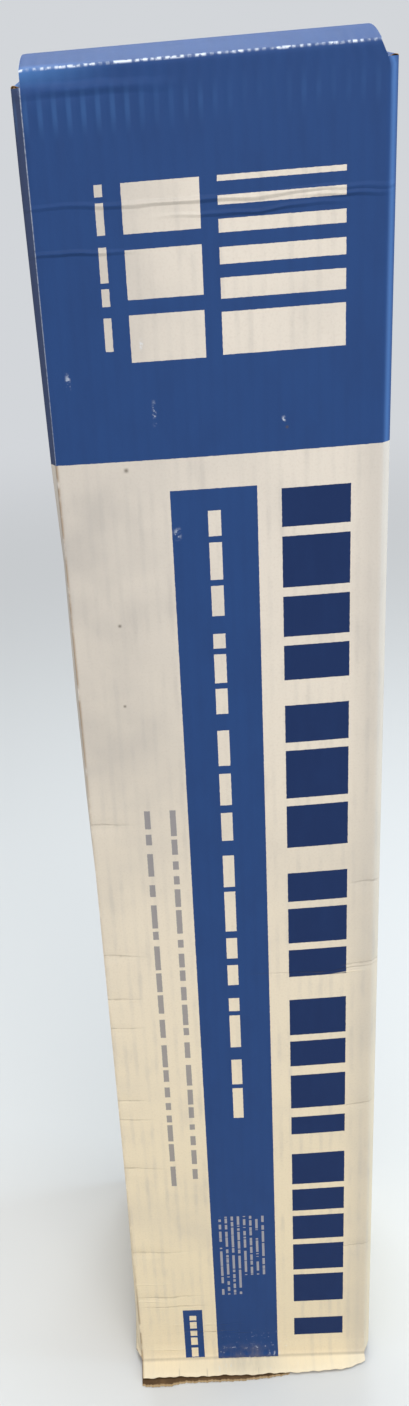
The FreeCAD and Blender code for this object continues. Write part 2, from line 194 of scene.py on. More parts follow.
class Blank:
    """Where every point of the flat blank ends up when the carton is folded."""

    def __init__(self, sizes):
        self.sizes = sizes
        self.half = WIDTH / 2
        self.flat = WIDTH - 2 * sizes.fold
        self.arc = sizes.fold * math.pi / 2
        self.pitch = self.flat + self.arc
        self.outer_score = LENGTH - sizes.fold
        self.inner_score = self.outer_score - sizes.board - sizes.layer_gap
        self.flap_reach = self.half - sizes.fold

    def panel_start(self, number):
        """Across at which a panel begins: 0 left, 1 front, 2 right, 3 back."""
        return number * self.pitch

    def flat_ends(self, number):
        """Where a panel's flat part begins and ends. The back panel runs on over the corner."""
        first = self.sizes.board if number == 0 else 0.0
        last = self.flat + self.sizes.fold - 0.0005 if number == 3 else self.flat
        return first, last

    def scores(self, number):
        """Heights of a panel's bottom and top scores."""
        top = self.outer_score if number in (1, 3) else self.inner_score
        return LENGTH - top, top

    def flap_length(self, number):
        """Length of a panel's end flaps past the fold."""
        toward = 1 if number in (1, 0) else -1
        return self.flap_reach + toward * self.sizes.seam_shift - self.sizes.seam_gap / 2

    def flap_swell(self, number):
        """Height of a top flap's crest, its distance behind the fold, and the free edge's height."""
        if number == 1:
            return self.sizes.front_crest, 0.043, 0.005
        if number == 3:
            return self.sizes.back_crest, 0.055, 0.003
        return 0.0, 0.050, 0.0

    def foot_reach(self, share):
        """How far the crushed foot sticks out, for a share from left to right."""
        reach = self.sizes.foot
        even = np.interp(share, (0, 0.5, 0.84, 0.93, 1.0),
                         (reach, reach, reach - 0.0014, reach - 0.0036, reach - 0.0095))
        ragged = np.sin(share * 47.0) * np.sin(share * 19.0 + 1.0) + 0.6 * np.sin(share * 127.0 + 2.0)
        return even + 0.0006 * ragged

    def fold_up(self, across, along, depth):
        """Places of points of the blank after folding. depth is measured in from the outside."""
        across, along, depth = np.broadcast_arrays(across, along, depth)
        place = np.zeros(across.shape + (3,))
        number = np.clip(np.floor((across + 0.00005) / self.pitch), 0, 3).astype(int)
        for panel in range(4):
            here = number == panel
            if not here.any():
                continue
            turn = (panel - 1) * math.pi / 2
            right = np.array([math.cos(turn), math.sin(turn), 0.0])
            out = np.array([math.sin(turn), -math.cos(turn), 0.0])
            inside = across[here] - panel * self.pitch
            place[here] = self._fold_panel(panel, inside, along[here], depth[here], right, out)
        return place

    def _fold_panel(self, panel, inside, along, depth, right, out):
        fold = self.sizes.fold
        low, high = self.scores(panel)
        height = np.clip(along, low, high)
        first, last = self.flat_ends(panel)
        on_flat = np.clip(inside, first, last)
        share = np.clip(on_flat / self.flat, 0, 1)

        # the fold at the panel's end, and at the left panel's start the one that leads to the tab
        turn = np.clip(inside - last, 0, self.arc) / fold
        tuck = np.clip(first - inside, 0, self.arc) / fold
        strip = np.maximum(first - inside - self.arc, 0)

        # the fold to the end flap, and the flap
        is_top = along > high
        past = np.where(is_top, along - high, np.maximum(low - along, 0))
        crest, crest_at, edge = self.flap_swell(panel)
        tilt = np.where(is_top, math.atan(2 * crest / crest_at), 0.0)
        bend = np.minimum(past / fold, math.pi / 2 - tilt)
        straight = np.maximum(past - (math.pi / 2 - tilt) * fold, 0)
        run = self.flap_length(panel)
        swell = np.where(straight < crest_at, crest * (1 - (1 - straight / crest_at) ** 2),
                         crest - (crest - edge) * ((straight - crest_at) / (run - crest_at)) ** 2)
        face = np.where(is_top, 1.0, -1.0)

        # a fold across the flutes is crisp, and one along a flute is a narrow flat facet
        corner = np.maximum(turn, tuck)
        facet = 0.15 + 0.85 * math.cos(math.pi / 4) / np.cos(corner - math.pi / 4)
        crisp = 1 + 0.12 * np.sin(2 * bend) ** 2
        radius = (fold - depth) * np.where(corner > 0, facet, crisp)
        lean = panel_lean(panel, share, height) * np.cos(turn) * np.cos(tuck)
        outward = self.half - fold + radius * np.cos(bend) * np.cos(turn) * np.cos(tuck)
        outward = outward + lean * (1 - np.clip(past / 0.02, 0, 1)) - strip - straight
        sideways = on_flat - self.flat / 2 - np.sin(tuck) * radius
        level = height + face * np.sin(bend) * radius + np.where(is_top, swell, 0.0)
        if panel in (0, 2):
            toward_front = inside / self.flat if panel == 0 else 1 - inside / self.flat
            sunk = self.sizes.sunk * smooth_step((toward_front - 0.72) / 0.26)
            level = level - np.where(is_top, sunk * np.clip(past / self.arc, 0, 1), 0.0)

        if panel == 0:
            pulled = corner_pull(height) * smooth_step((inside - 0.075) / 0.095)
            outward = outward - pulled * np.cos(turn) * (past == 0)
        if panel < 3:
            ahead = panel_lean(panel + 1, 0.0 * height, height)
            if panel == 0:
                ahead = ahead + self.foot_place(0.0 * height, height)[0]
            sideways = sideways + np.sin(turn) * (radius + ahead)
        if panel == 1:
            crushed = smooth_step(1 - share / 0.42) * smooth_step((height - 0.982) / 0.013)
            outward = outward - self.sizes.crushed_top * crushed * np.cos(turn)
            outward, level = self._crush_foot(share, along, depth, turn, outward, level)
            cut = np.clip((along - high + 0.007) / 0.010, 0, 1)
            sideways = sideways - self.sizes.notch * cut * smooth_step((sideways - 0.055) / 0.040)
        return (sideways[:, None] * right + outward[:, None] * out
                + level[:, None] * np.array([0.0, 0.0, 1.0]))

    def foot_place(self, share, along):
        """Outward push and level of the front panel's lower end, and the board's direction."""
        table = np.array(FOOT_PROFILE).T
        fixed, part, level, inward, upward = (np.interp(along, table[0], row) for row in table[1:])
        return fixed + part * self.foot_reach(share), level, inward, upward

    def _crush_foot(self, share, along, depth, turn, outward, level):
        """Pushes the front panel's foot outwards, and draws the flap out under it."""
        push, lifted, inward, upward = self.foot_place(share, along)
        foot_out = self.half + push - depth * inward
        foot_level = lifted + depth * upward
        flap = np.clip((FOOT_START - along) / self.flap_length(1), 0, 1)
        seam = self.half - self.sizes.fold - self.flap_length(1)
        foot_out = foot_out + flap * (seam - foot_out)
        crushed = (along < FOOT_CRUSHED) & (turn == 0)
        raised = (along < FOOT_TOP) & ~crushed
        outward = np.where(crushed, foot_out, np.where(raised, outward + push * np.cos(turn), outward))
        return outward, np.where(crushed, foot_level, level)


def smooth_step(value):
    """0 up to 0, 1 from 1 on, and a smooth rise between them."""
    value = np.clip(value, 0, 1)
    return value * value * (3 - 2 * value)


def corner_pull(height):
    """How far the front left corner is drawn in by the wear of its fold."""
    return np.interp(height, (0.02, 0.08, 0.20, 0.50, 0.56, 0.64, 0.73, 0.79, 0.88, 0.95),
                     (0.0020, 0.0032, 0.0046, 0.0046, 0.0036, 0.0030, 0.0036, 0.0018, 0.0007, 0.0))


# Dents in the panels: panel, share across, height, half width and half height, depth.
DENTS = (
    (1, 0.04, 0.543, 0.025, 0.005, 0.0012),
    (1, 0.03, 0.434, 0.022, 0.005, 0.0012),
    (1, 0.02, 0.396, 0.020, 0.005, 0.0012),
    (1, 0.02, 0.368, 0.020, 0.005, 0.0010),
    (1, 0.02, 0.299, 0.018, 0.005, 0.0012),
    (1, 0.02, 0.280, 0.018, 0.005, 0.0010),
    (1, 0.03, 0.227, 0.020, 0.005, 0.0012),
    (1, 0.04, 0.132, 0.030, 0.006, 0.0014),
    (1, 0.06, 0.078, 0.036, 0.006, 0.0012),
    (1, 0.98, 0.417, 0.024, 0.006, 0.0014),
    (1, 0.98, 0.486, 0.014, 0.005, 0.0012),
    (1, 0.98, 0.285, 0.020, 0.005, 0.0012),
    (1, 0.98, 0.132, 0.020, 0.006, 0.0012),
    (0, 0.30, 0.610, 0.050, 0.020, 0.0012),
    (2, 0.55, 0.300, 0.060, 0.030, 0.0014),
    (2, 0.90, 0.740, 0.030, 0.012, 0.0012),
    (3, 0.35, 0.480, 0.070, 0.030, 0.0014),
    (3, 0.97, 0.200, 0.024, 0.008, 0.0012),
)


def panel_lean(panel, share, height):
    """How far a panel stands out of flat: its bow, a slow unevenness and its dents."""
    middle = np.clip((height / LENGTH - 0.5) * 2, -1, 1)
    bow = 0.0025 if panel == 0 else BULGE - 0.0006
    lean = bow * (1 - middle ** 2) * (1 - (2 * share - 1) ** 2)
    uneven = np.sin(height * 23.0 + panel * 1.7) * np.sin(share * math.pi) * (1 - middle ** 2)
    lean = lean + 0.0005 * uneven
    for dent_panel, at, level, half_width, half_height, depth in DENTS:
        if dent_panel == panel:
            side = smooth_step(1 - np.abs(share - at) * (WIDTH - 0.01) / half_width)
            lean = lean - depth * side * smooth_step(1 - np.abs(height - level) / half_height)
    return lean


# ---------------------------------------------------------------- mesh helpers

def object_mode():
    if bpy.context.object and bpy.context.object.mode != "OBJECT":
        bpy.ops.object.mode_set(mode="OBJECT")


def only(piece):
    """Makes one object the only one selected, and the active one."""
    object_mode()
    bpy.ops.object.select_all(action="DESELECT")
    piece.select_set(True)
    bpy.context.view_layer.objects.active = piece


def flat_sheet(name, cells):
    """A flat mesh of grids laid side by side, each (left, right, low, high, columns, rows)."""
    object_mode()
    bpy.ops.object.select_all(action="DESELECT")
    bpy.ops.object.add(type="MESH", location=(0, 0, 0))
    sheet = bpy.context.object
    sheet.name = name
    sheet.data.name = name
    bpy.ops.object.mode_set(mode="EDIT")
    for left, right, low, high, columns, rows in cells:
        middle = ((left + right) / 2, (low + high) / 2, 0)
        bpy.ops.mesh.primitive_grid_add(
            x_subdivisions=columns, y_subdivisions=rows, size=1, calc_uvs=False, location=middle)
        bpy.ops.transform.resize(value=(right - left, high - low, 1), center_override=middle)
    bpy.ops.mesh.select_all(action="SELECT")
    bpy.ops.mesh.remove_doubles(threshold=0.00001)
    bpy.ops.mesh.select_all(action="DESELECT")
    bpy.ops.object.mode_set(mode="OBJECT")
    return sheet


def read_points(piece):
    points = np.empty(len(piece.data.vertices) * 3)
    piece.data.vertices.foreach_get("co", points)
    return points.reshape(-1, 3)


def write_points(piece, points):
    piece.data.vertices.foreach_set("co", points.ravel())
    piece.data.update()


def keep_blank_map(piece):
    """Stores the flat coordinates as the piece's UV map, in metres."""
    layer = piece.data.uv_layers.new(name="blank")
    points = read_points(piece)
    corners = np.empty(len(piece.data.loops), dtype=np.int32)
    piece.data.loops.foreach_get("vertex_index", corners)
    layer.data.foreach_set("uv", points[corners, :2].ravel())


def thicken(piece, thickness, paper_slot):
    """Gives a paper layer its thickness, inwards, with another material on its back and rim."""
    only(piece)
    solid = piece.modifiers.new("paper", "SOLIDIFY")
    solid.thickness = thickness
    solid.offset = -1
    solid.material_offset = paper_slot
    solid.material_offset_rim = paper_slot
    bpy.ops.object.modifier_apply(modifier=solid.name)


def finish_piece(piece, node):
    """Smooths a finished piece, hangs it on the root body and hides the part of the frame that it
    replaces.
    """
    only(piece)
    bpy.ops.object.shade_smooth_by_angle(angle=math.radians(40))
    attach(piece, "root")
    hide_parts(node)


def blank_cells(blank, fine_columns, coarse_columns, fold_columns, rows, foot_rows):
    """The cells of the whole blank: panels, folds between them, glue tab and end flaps."""
    low = LENGTH - blank.inner_score
    high = blank.inner_score
    cells = []

    def strip(left, right, columns):
        cells.append((left, right, low, FOOT_TOP, columns, foot_rows))
        cells.append((left, right, FOOT_TOP, high, columns, rows))

    tab_fold = blank.sizes.board - blank.arc
    strip(tab_fold - blank.sizes.tab, tab_fold, 3)
    strip(tab_fold, blank.sizes.board, fold_columns)
    for panel in range(4):
        first, last = blank.flat_ends(panel)
        left = blank.panel_start(panel) + first
        right = blank.panel_start(panel) + last
        columns = fine_columns if panel == 1 else coarse_columns
        strip(left, right, columns)
        if panel < 3:
            strip(right, right + blank.arc, fold_columns)
        right = blank.panel_start(panel) + blank.flat
        left = blank.panel_start(panel)
        bottom, top = blank.scores(panel)
        if top > high:
            cells.append((left, right, high, top, columns, 3))
            cells.append((left, right, bottom, low, columns, foot_rows // 2))
        run = blank.flap_length(panel)
        for face, score in ((1, top), (-1, bottom)):
            folded = score + face * blank.arc
            tip = folded + face * run
            cells.append((left, right, min(score, folded), max(score, folded), columns, 8))
            cells.append((left, right, min(folded, tip), max(folded, tip), columns, 14))
    return cells


# ---------------------------------------------------------------- shader helpers

class Shader:
    """Builds one node material with short calls. A value is a number or a socket."""

    def __init__(self, name):
        self.material = bpy.data.materials.new(name)
        self.material.use_nodes = True
        self.tree = self.material.node_tree
        self.tree.nodes.clear()
        self.output = self.tree.nodes.new("ShaderNodeOutputMaterial")
        self.surface = self.tree.nodes.new("ShaderNodeBsdfPrincipled")
        self.surface.inputs["Specular IOR Level"].default_value = 0.2
        self.tree.links.new(self.surface.outputs[0], self.output.inputs[0])

    def node(self, kind, **settings):
        made = self.tree.nodes.new(kind)
        for key, value in settings.items():
            setattr(made, key, value)
        return made

    def feed(self, socket, value):
        if isinstance(value, bpy.types.NodeSocket):
            self.tree.links.new(value, socket)
        elif value is not None:
            socket.default_value = value

    def math(self, operation, *values):
        made = self.node("ShaderNodeMath", operation=operation)
        for socket, value in zip(made.inputs, values):
            self.feed(socket, value)
        return made.outputs[0]

    def mix(self, share, first, second):
        made = self.node("ShaderNodeMix", data_type="RGBA")
        self.feed(made.inputs[0], share)
        self.feed(made.inputs[6], as_colour(first))
        self.feed(made.inputs[7], as_colour(second))
        return made.outputs[2]

    def stain(self, colour, mask, share, other):
        """Lets another colour show at part strength where a mask is 1."""
        return self.mix(self.math("MULTIPLY", mask, share), colour, other)

    def ramp(self, value, low, high, out_low=0.0, out_high=1.0):
        made = self.node("ShaderNodeMapRange", interpolation_type="SMOOTHSTEP")
        for socket, number in zip(made.inputs, (value, low, high, out_low, out_high)):
            self.feed(socket, number)
        return made.outputs[0]

    def near(self, value, centre, reach):
        """1 where a value is at the centre, falling to 0 at a distance of reach."""
        away = self.math("ABSOLUTE", self.math("SUBTRACT", value, centre))
        return self.ramp(away, 0.0, reach, 1.0, 0.0)

    def most(self, *masks):
        """The largest of several masks."""
        result = masks[0]
        for mask in masks[1:]:
            result = self.math("MAXIMUM", result, mask)
        return result

    def both(self, *masks):
        """The product of several masks."""
        result = masks[0]
        for mask in masks[1:]:
            result = self.math("MULTIPLY", result, mask)
        return result

    def noise(self, vector, scale, detail=3.0, roughness=0.55):
        made = self.node("ShaderNodeTexNoise")
        self.feed(made.inputs["Vector"], vector)
        made.inputs["Scale"].default_value = scale
        made.inputs["Detail"].default_value = detail
        made.inputs["Roughness"].default_value = roughness
        return made.outputs[0]

    def combine(self, x, y):
        made = self.node("ShaderNodeCombineXYZ")
        for socket, value in zip(made.inputs, (x, y)):
            self.feed(socket, value)
        return made.outputs[0]

    def group(self, tree, *values):
        made = self.node("ShaderNodeGroup")
        made.node_tree = tree
        for socket, value in zip(made.inputs, values):
            self.feed(socket, value)
        return made.outputs[0]

    def bump(self, height, distance, strength, normal=None):
        made = self.node("ShaderNodeBump")
        made.inputs["Strength"].default_value = strength
        made.inputs["Distance"].default_value = distance
        self.feed(made.inputs["Height"], height)
        self.feed(made.inputs["Normal"], normal)
        return made.outputs[0]


def as_colour(value):
    if isinstance(value, bpy.types.NodeSocket):
        return value
    return tuple(value)[:3] + (1.0,)


class GroupShader(Shader):
    """The same calls, inside a node group whose inputs are plain numbers."""

    def __init__(self, name, inputs):
        self.tree = bpy.data.node_groups.new(name, "ShaderNodeTree")
        for label in inputs:
            self.tree.interface.new_socket(name=label, in_out="INPUT", socket_type="NodeSocketFloat")
        self.tree.interface.new_socket(name="Mask", in_out="OUTPUT", socket_type="NodeSocketFloat")
        self.entry = self.tree.nodes.new("NodeGroupInput")
        self.exit = self.tree.nodes.new("NodeGroupOutput")

    def inputs(self):
        return [socket for socket in self.entry.outputs if socket.name]

    def finish(self, value):
        self.tree.links.new(value, self.exit.inputs[0])
        return self.tree


def block_group():
    """A mask that is 1 inside a rectangle of the blank."""
    shader = GroupShader("print_block", ("Across", "Along", "Left", "Right", "Low", "High"))
    across, along, left, right, low, high = shader.inputs()
    return shader.finish(shader.both(
        shader.math("GREATER_THAN", across, left), shader.math("LESS_THAN", across, right),
        shader.math("GREATER_THAN", along, low), shader.math("LESS_THAN", along, high)))


def crease_group():
    """A mask of one level crease in the board, soft at its ends."""
    shader = GroupShader("crease", ("Across", "Along", "Middle", "Half length", "Level", "Half width"))
    across, along, middle, half_length, level, half_width = shader.inputs()
    return shader.finish(shader.both(
        shader.near(across, middle, half_length), shader.near(along, level, half_width)))


def word_marks(seed, length, sizes, gap, word_sizes, word_gap):
    """Marks of random length in word-like groups, as (from, to) distances along a row."""
    chance = random.Random(seed)
    marks = []
    place = 0.0
    while True:
        for _ in range(chance.randint(*word_sizes)):
            size = chance.uniform(*sizes)
            if place + size > length:
                return marks
            marks.append((place, place + size))
            place += size + gap
        place += word_gap - gap


# A colour ramp holds 32 stops: two for each mark, and its first and last.
RAMP_MARKS = 15


class Print:
    """Lays plain marks on the front panel, in shares of its width and of the carton's length."""

    def __init__(self, shader, across, along, blank):
        self.shader = shader
        self.across = across
        self.along = along
        self.left = blank.panel_start(1)
        self.width = blank.flat
        self.block_tree = block_group()

    def block(self, left, right, high, low):
        """A rectangle. left and right are shares of the width, high and low shares down."""
        return self.shader.group(
            self.block_tree, self.across, self.along,
            self.left + left * self.width, self.left + right * self.width, down(low), down(high))

    def row(self, left, right, high, low, marks):
        """Marks along a strip, each given as distances down from the strip's upper end."""
        length = LENGTH * (low - high)
        passed = self.shader.math("SUBTRACT", down(high), self.along)
        share = self.shader.math("DIVIDE", passed, length)
        masks = []
        for first in range(0, len(marks), RAMP_MARKS):
            ramp = self.shader.node("ShaderNodeValToRGB")
            ramp.color_ramp.interpolation = "CONSTANT"
            stops = ramp.color_ramp.elements
            stops[0].color = (0, 0, 0, 1)
            stops[1].color = (0, 0, 0, 1)
            for begin, end in marks[first:first + RAMP_MARKS]:
                stops.new(begin / length).color = (1, 1, 1, 1)
                stops.new(end / length).color = (0, 0, 0, 1)
            self.shader.feed(ramp.inputs[0], share)
            masks.append(ramp.outputs[0])
        return self.shader.both(self.block(left, right, high, low), self.shader.most(*masks))

    def words(self, left, right, high, low, seed, *pattern):
        """The same with marks of random length, laid by word_marks."""
        return self.row(left, right, high, low, word_marks(seed, low - high, *pattern))


# Creases across the front panel: share across, half length in metres, share down, half width.
BLUE_CREASES = (
    (0.50, 0.150, 0.0690, 0.0022),
    (0.10, 0.045, 0.0930, 0.0020),
    (0.62, 0.060, 0.0760, 0.0018),
    (0.88, 0.030, 0.0720, 0.0020),
    (0.16, 0.062, 0.0120, 0.0042),
)
EDGE_CREASES = (
    (0.03, 0.030, 0.4570, 0.0014), (0.05, 0.026, 0.5660, 0.0013), (0.04, 0.024, 0.6040, 0.0012),
    (0.04, 0.022, 0.6320, 0.0012), (0.04, 0.020, 0.7010, 0.0013), (0.04, 0.022, 0.7200, 0.0011),
    (0.05, 0.026, 0.7730, 0.0013), (0.08, 0.040, 0.8680, 0.0016), (0.12, 0.045, 0.9220, 0.0016),
    (0.16, 0.040, 0.9330, 0.0012), (0.30, 0.030, 0.9660, 0.0012), (0.98, 0.030, 0.5830, 0.0016),
    (0.98, 0.016, 0.5140, 0.0014), (0.97, 0.022, 0.7150, 0.0012), (0.96, 0.026, 0.8680, 0.0013),
    (0.80, 0.060, 0.5860, 0.0010),
)
# Raised wrinkles and small rubbed places, listed in the same way.
RIDGES = (
    (0.30, 0.040, 0.9560, 0.0011), (0.05, 0.018, 0.9260, 0.0010), (0.13, 0.026, 0.9850, 0.0010),
    (0.44, 0.016, 0.9680, 0.0009), (0.06, 0.022, 0.9050, 0.0010), (0.90, 0.018, 0.5890, 0.0009),
)
RUBS = (
    (0.286, 0.0016, 0.1425, 0.0040),
    (0.312, 0.0016, 0.1810, 0.0090),
    (0.362, 0.0030, 0.2540, 0.0050),
    (0.700, 0.0016, 0.1900, 0.0030),
    (0.060, 0.0020, 0.1600, 0.0060),
)
# Dark specks on the front panel: share across, share down, radius.
SPECKS = ((0.215, 0.2135, 0.0022), (0.158, 0.3115, 0.0018), (0.154, 0.3670, 0.0016),
          (0.710, 0.1945, 0.0014))
# Short upright nicks in the foot, as shares across.
NICKS = (0.165, 0.290, 0.520)
# The end block's marks, as distances down from its upper end.
BARS = ((0.0, 0.026), (0.034, 0.060), (0.068, 0.094))
STRIPES = ((0.0, 0.0030), (0.0100, 0.0150), (0.0220, 0.0290), (0.0360, 0.0450), (0.0520, 0.0630),
           (0.0700, 0.0930))
BLOCK_END = 0.2082


class PrintedLiner(Shader):
    """Bleached paper with its flexographic print, worn at the folds."""

    def __init__(self, colours, blank):
        super().__init__("printed_liner")
        self.colours = colours
        self.blank = blank
        self.place = self.node("ShaderNodeUVMap", uv_map="blank").outputs[0]
        parts = self.node("ShaderNodeSeparateXYZ")
        self.feed(parts.inputs[0], self.place)
        self.across, self.along = parts.outputs[:2]
        self.crease_tree = crease_group()
        self.flutes = self.wave(1)
        self.long_cloud = self.noise(
            self.combine(self.math("MULTIPLY", self.across, 3.0), self.along), 22.0, 4.0, 0.6)
        self.cloud = self.noise(self.place, 9.0, 4.0)
        self.fibre = self.noise(self.place, 650.0, 4.0, 0.65)

    def wave(self, times):
        """A sine across the flutes, which runs a number of times in each flute."""
        pitch = self.blank.sizes.flute
        return self.math("SINE", self.math("MULTIPLY", self.across, times * 2 * math.pi / pitch))

    def across_at(self, share):
        """Across at a share of the front panel's width."""
        return self.blank.panel_start(1) + share * self.blank.flat

    def patches(self, scale, low, high, detail=3.0, roughness=0.55):
        """A mask of random patches."""
        return self.ramp(self.noise(self.place, scale, detail, roughness), low, high)

    def creases(self, table, along):
        """A mask of the level marks that a table lists."""
        return self.most(*[
            self.group(self.crease_tree, self.across, along, self.across_at(middle), half_length,
                       down(level), half_width)
            for middle, half_length, level, half_width in table])

    def marks(self):
        """Masks of the blue ink, the dark blocks, the fine grey lines and the pale notes."""
        edge = self.math("MULTIPLY_ADD", self.noise(self.place, 420.0, 2.0), 0.0005, -0.00025)
        layout = Print(self, self.math("ADD", self.across, edge),
                       self.math("ADD", self.along, edge), self.blank)
        solid = self.most(
            self.math("GREATER_THAN", layout.along, down(BLOCK_END)),
            layout.block(0.345, 0.615, 0.2275, 0.9912),
            layout.block(0.198, 0.284, 0.938, 0.9905))
        bare = self.most(
            layout.row(0.255, 0.475, 0.058, 0.152, BARS),
            layout.row(0.525, 0.885, 0.058, 0.152, STRIPES),
            layout.words(0.460, 0.500, 0.239, 0.747, 12, (0.010, 0.034), 0.005, (2, 4), 0.012),
            layout.words(0.180, 0.203, 0.058, 0.155, 15, (0.006, 0.020), 0.003, (2, 3), 0.006),
            layout.words(0.226, 0.256, 0.945, 0.992, 18, (0.005, 0.012), 0.002, (2, 3), 0.003))
        blue = self.both(solid, self.math("SUBTRACT", 1.0, bare))
        title = layout.words(0.690, 0.905, 0.2275, 0.988, 4, (0.020, 0.036), 0.0065, (3, 6), 0.020)
        fine = self.most(
            layout.words(0.281, 0.302, 0.444, 0.790, 7, (0.005, 0.022), 0.003, (1, 3), 0.006),
            layout.words(0.191, 0.212, 0.444, 0.806, 9, (0.005, 0.022), 0.003, (1, 3), 0.006))
        line = self.math("DIVIDE", self.across, 0.0049)
        broken = self.noise(self.combine(self.math("MULTIPLY", self.math("FLOOR", line), 7.3),
                                         self.math("MULTIPLY", self.along, 260.0)), 1.0, 1.0)
        notes = self.both(
            self.math("LESS_THAN", self.math("FRACT", line), 0.40),
            self.math("GREATER_THAN", broken, 0.44),
            self.most(layout.block(0.376, 0.480, 0.828, 0.920),
                      layout.block(0.480, 0.583, 0.828, 0.897)))
        return blue, title, fine, notes

    def paper(self):
        """The bleached face, warmer near the floor and greyer in patches and towards the upper left."""
        grime = self.colours.grime
        # warmer towards the floor: partly painted warm light from the floor, partly yellowed paper
        paper = self.mix(self.ramp(self.along, 0.80, 0.05), self.colours.white, self.colours.cream)
        paper = self.mix(self.ramp(self.cloud, 0.45, 0.80, 0.0, 0.30), paper, grime)
        paper = self.mix(self.ramp(self.long_cloud, 0.50, 0.85, 0.0, 0.25), paper, grime)
        lines = self.both(self.ramp(self.flutes, -0.2, 1.0),
                          self.ramp(self.long_cloud, 0.35, 0.70, 0.0, 0.19))
        paper = self.mix(lines, paper, grime)
        paper = self.mix(self.ramp(self.fibre, 0.45, 0.75, 0.0, 0.10), paper, self.colours.kraft)
        paper = self.stain(paper, self.near(self.across, self.across_at(0.985), 0.020), 0.35, grime)
        # greyer towards the upper left
        upper_left = self.both(self.ramp(self.across, self.across_at(0.62), self.across_at(0)),
                               self.ramp(self.along, LENGTH * 0.42, LENGTH * 0.66),
                               self.ramp(self.cloud, 0.30, 0.70, 0.35, 1.0))
        return self.stain(paper, upper_left, 0.72, grime)

    def ink(self):
        """The blue ink: thin in places, with painted shade on the left fold and painted highlights at
        the top left corner, on the flutes near the top and on the right fold.
        """
        colours, arc, front = self.colours, self.blank.arc, self.across_at(0)
        ink = self.mix(self.ramp(self.long_cloud, 0.35, 0.80, 0.0, 0.45),
                       colours.blue, colours.blue_dull)
        ink = self.mix(self.ramp(self.flutes, 0.0, 1.0, 0.0, 0.12), ink, colours.blue_dull)
        # painted shade: the left fold turns away from the light, and its ink is greyed to stand for that
        left_fold = self.both(self.math("LESS_THAN", self.across, front - 0.0004),
                              self.math("GREATER_THAN", self.across, front - 1.2 * arc))
        ink = self.stain(ink, left_fold, 0.55, colours.painted_shade_ink)
        # painted highlight where the crushed top left corner faces up into the light
        top_corner = self.both(self.ramp(self.across, self.across_at(0.30), self.across_at(-0.05)),
                               self.near(self.along, LENGTH - 0.0030, 0.0085),
                               self.ramp(self.cloud, 0.2, 0.6, 0.6, 1.0))
        # painted highlight on the flute ridges near the top
        streaks = self.both(self.ramp(self.flutes, 0.0, 1.0),
                            self.near(self.along, LENGTH - 0.022, 0.015),
                            self.ramp(self.cloud, 0.35, 0.60))
        # painted highlight on the right fold, which is lit from the right
        right_fold = self.near(self.across, self.across_at(1) + 0.5 * arc, 0.6 * arc)
        # all three are painted highlights in a lighter blue
        for mask, share in ((top_corner, 0.42), (streaks, 0.13), (right_fold, 0.30)):
            ink = self.stain(ink, mask, share, colours.painted_highlight_ink)
        return ink

    def cracks(self):
        """Light marks: a dotted line along the top fold, and bare fibre on the left fold, on the foot
        and in small rubs.
        """
        broken = self.ramp(self.noise(self.place, 130.0, 3.0, 0.7), 0.36, 0.60, 0.15, 1.0)
        dotted = self.most(self.ramp(self.wave(2), -0.6, 0.8, 0.20, 1.0), self.ramp(broken, 0.80, 1.0))
        # light dots along the top fold, at the flutes
        top_fold = self.both(self.near(self.along, LENGTH - 0.0012, 0.0014), dotted, broken)
        left_fold = self.both(self.near(self.across, self.across_at(0) - 0.0003, 0.0006),
                              self.ramp(self.noise(self.place, 520.0, 3.0, 0.6), 0.30, 0.60, 0.35, 1.0))
        foot = self.both(self.near(self.along, 0.010, 0.030),
                         self.near(self.across, self.across_at(0.48), 0.060),
                         self.patches(240.0, 0.60, 0.66, 4.0, 0.7))
        rubs = self.both(self.patches(300.0, 0.48, 0.60, 3.0, 0.7), self.creases(RUBS, self.along))
        return self.most(*[self.math("MULTIPLY", mask, share) for mask, share in (
            (top_fold, 0.9), (left_fold, 0.5), (foot, 0.6), (rubs, 0.6))])

    def foot_soil_and_painted_light(self, colour):
        """The foot: soil in its nicks and middle, a painted highlight on the strip that faces up, and a
        painted shadow line above the strip.
        """
        nicks = self.both(self.ramp(self.along, 0.0066, 0.0056), self.most(*[
            self.near(self.across, self.across_at(share), 0.0009) for share in NICKS]))
        middle = self.both(self.near(self.across, self.across_at(0.47), 0.034),
                           self.near(self.along, 0.007, 0.016),
                           self.patches(120.0, 0.35, 0.65, 4.0, 0.6))
        soil = self.most(nicks, self.math("MULTIPLY", middle, 0.55))
        colour = self.stain(colour, soil, 0.6, self.colours.soil)
        # painted highlight: the crushed strip faces up into the light
        colour = self.stain(colour, self.ramp(self.along, 0.0088, 0.0080), 0.42, self.colours.painted_highlight_paper)
        # painted shadow line along the top of the strip
        return self.stain(colour, self.near(self.along, 0.0091, 0.0009), 0.28, self.colours.shade_and_dirt)

    def torn_edges(self, colour):
        """Brown paper along the worn part of the left fold and at the torn lower edge."""
        colours = self.colours
        worn_part = self.most(self.ramp(self.along, LENGTH * 0.50, LENGTH * 0.62),
                              self.ramp(self.along, LENGTH * 0.16, LENGTH * 0.06), 0.35)
        left_fold = self.both(self.near(self.across, self.across_at(0) - 0.0002, 0.0021),
                              self.math("LESS_THAN", self.along, down(BLOCK_END)), worn_part,
                              self.patches(60.0, 0.33, 0.52, 4.0))
        colour = self.stain(colour, left_fold, 0.75, colours.kraft)
        ragged = self.math("MULTIPLY_ADD", self.noise(self.place, 260.0, 4.0, 0.7), 0.0050, self.along)
        # the lower edge darkens to the torn colour: partly soil, partly painted shade under the foot's
        # overhang
        torn = self.mix(self.ramp(self.along, 0.0040, 0.0015), colours.kraft, colours.torn)
        return self.mix(self.math("LESS_THAN", ragged, 0.0050), colour, torn)

